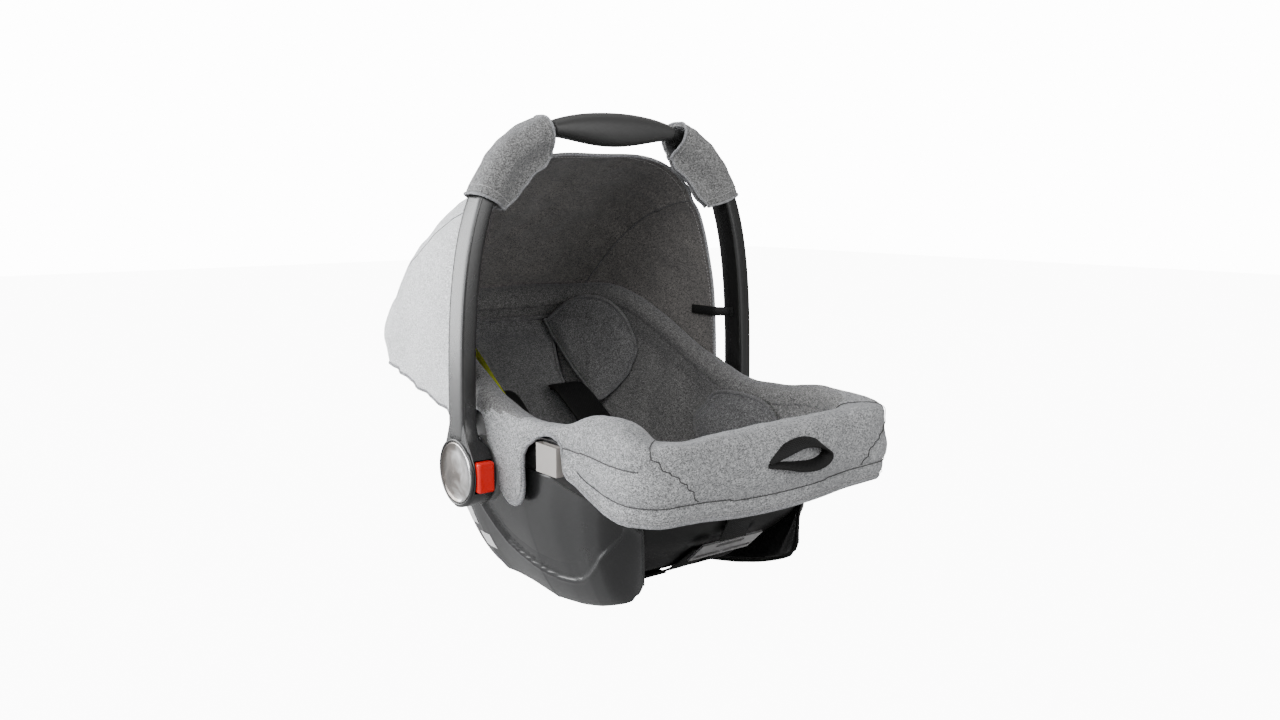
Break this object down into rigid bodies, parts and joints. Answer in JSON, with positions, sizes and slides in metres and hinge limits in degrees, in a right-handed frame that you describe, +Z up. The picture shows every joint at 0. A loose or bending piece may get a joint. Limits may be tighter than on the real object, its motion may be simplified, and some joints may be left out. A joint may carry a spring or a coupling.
{
  "type": "infant car seat",
  "caption": "Rear-facing infant carrier: padded bucket shell on rocker panels, swinging carry handle with lock hubs, folding canopy and three-point harness.",
  "frame": {"origin": "on the floor under the rockers, at the centre of the overall length and width", "axes": "+Z up, +Y towards the head end, -Y towards the foot end, +X to the right of someone who faces the head end from the foot end"},
  "size_m": [0.4412, 0.6588, 0.5595],
  "materials": {
    "shell_plastic": "fine grained",
    "panel_plastic": "satin",
    "foam": "expanded foam beads",
    "cover_fabric": "light heather weave",
    "liner_fabric": "dark heather weave",
    "webbing": "woven webbing",
    "handle_plastic": "satin",
    "grip_rubber": "soft touch",
    "cap_metal": "brushed disc",
    "red_plastic": "glossy",
    "guide_plastic": "satin",
    "steel": "zinc plated"
  },
  "bodies": {
    "shell": {"seat_shell": "shell_plastic", "left_rocker_panel": "panel_plastic", "right_rocker_panel": "panel_plastic", "foam_liner": "foam", "left_hub_socket": "shell_plastic", "right_hub_socket": "shell_plastic", "pivot_studs": "steel", "stud_nuts": "steel", "socket_screws": "steel", "left_belt_guide": "guide_plastic", "right_belt_guide": "guide_plastic", "rear_belt_guide": "guide_plastic", "rim_cover": "cover_fabric", "seat_liner": "liner_fabric", "infant_insert": "liner_fabric", "left_head_pad": "liner_fabric", "right_head_pad": "liner_fabric", "left_hip_pad": "liner_fabric", "right_hip_pad": "liner_fabric", "left_shoulder_cover": "webbing", "right_shoulder_cover": "webbing", "left_harness_webbing": "webbing", "right_harness_webbing": "webbing", "left_tongue": "steel", "right_tongue": "steel", "crotch_strap": "webbing", "crotch_pad": "liner_fabric", "buckle_housing": "handle_plastic", "buckle_spring": "steel", "harness_yoke": "steel", "adjuster_strap": "webbing", "pull_loop": "webbing", "adjuster_base": "steel", "adjuster_pin": "steel", "canopy": "cover_fabric", "canopy_tabs": "webbing"},
    "handle": {"handle_frame": "handle_plastic", "handle_grip": "grip_rubber", "left_hub_housing": "handle_plastic", "right_hub_housing": "handle_plastic", "left_hub_cap": "cap_metal", "right_hub_cap": "cap_metal", "left_handle_pad": "cover_fabric", "right_handle_pad": "cover_fabric", "left_lock_spring": "steel", "right_lock_spring": "steel"},
    "left_button": {"left_release_button": "red_plastic"},
    "right_button": {"right_release_button": "red_plastic"},
    "left_lock": {"left_lock_gear": "handle_plastic"},
    "right_lock": {"right_lock_gear": "handle_plastic"},
    "buckle_press": {"buckle_button": "red_plastic"},
    "strap_lever": {"adjuster_lever": "steel"}
  },
  "joints": [
    {"name": "handle_turn", "type": "hinge", "parent": "shell", "child": "handle", "pos_m": [0, -0.029, 0.155], "axis": [1, 0, 0], "range_deg": [-105, 0], "deforming": ["canopy", "canopy_tabs", "left_handle_pad", "right_handle_pad"]},
    {"name": "left_button_press", "type": "slide", "parent": "handle", "child": "left_button", "axis": [0, 1, 0], "range_m": [0, 0.005], "stiffness_N_per_m": 400, "springref_m": -0.004, "deforming": ["left_lock_spring"]},
    {"name": "right_button_press", "type": "slide", "parent": "handle", "child": "right_button", "axis": [0, 1, 0], "range_m": [0, 0.005], "stiffness_N_per_m": 400, "springref_m": -0.004, "deforming": ["right_lock_spring"]},
    {"name": "left_lock_slide", "type": "slide", "parent": "handle", "child": "left_lock", "axis": [-1, 0, 0], "range_m": [0, 0.003], "deforming": ["left_lock_spring"]},
    {"name": "right_lock_slide", "type": "slide", "parent": "handle", "child": "right_lock", "axis": [1, 0, 0], "range_m": [0, 0.003], "deforming": ["right_lock_spring"]},
    {"name": "buckle_button_press", "type": "slide", "parent": "shell", "child": "buckle_press", "axis": [0, 0.9397, -0.342], "range_m": [0, 0.003], "stiffness_N_per_m": 300, "springref_m": -0.003, "deforming": ["buckle_spring"]},
    {"name": "strap_lever_turn", "type": "hinge", "parent": "shell", "child": "strap_lever", "pos_m": [0, -0.299, 0.1986], "axis": [1, 0, 0], "range_deg": [0, 22], "stiffness_Nm_per_rad": 0.2, "springref_deg": -5.73}
  ],
  "couplings": [
    {"joint": "left_lock_slide", "follows": "left_button_press", "ratio": 0.6},
    {"joint": "right_lock_slide", "follows": "right_button_press", "ratio": 0.6}
  ]
}
